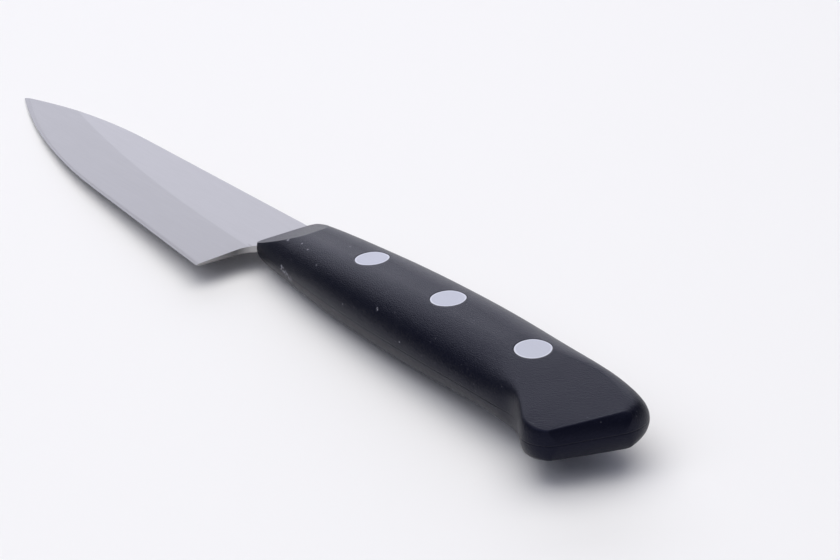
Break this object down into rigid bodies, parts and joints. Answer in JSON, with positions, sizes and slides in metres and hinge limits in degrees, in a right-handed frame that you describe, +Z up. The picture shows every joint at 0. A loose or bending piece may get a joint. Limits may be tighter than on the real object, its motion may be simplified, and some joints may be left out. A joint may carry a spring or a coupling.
{
  "type": "paring knife",
  "caption": "Long, slim kitchen paring knife with a pointed ground blade and a riveted, hooked handle, lying on its side.",
  "frame": {"origin": "middle of the footprint of the knife as it lies, on the table under it", "axes": "+X from the tip towards the butt of the handle, +Y from the cutting edge towards the spine, +Z up off the table"},
  "size_m": [0.243, 0.0302, 0.0141],
  "materials": {
    "blade_steel": "fine satin, ground along the blade below the grind line",
    "handle_plastic": "matte moulded black plastic with a fine grain",
    "rivet_metal": "satin, sanded flush with the handle"
  },
  "bodies": {
    "root": {"blade": "blade_steel", "left_scale": "handle_plastic", "right_scale": "handle_plastic", "front_rivet_tube": "rivet_metal", "front_rivet_pin": "rivet_metal", "middle_rivet_tube": "rivet_metal", "middle_rivet_pin": "rivet_metal", "rear_rivet_tube": "rivet_metal", "rear_rivet_pin": "rivet_metal"}
  },
  "joints": []
}
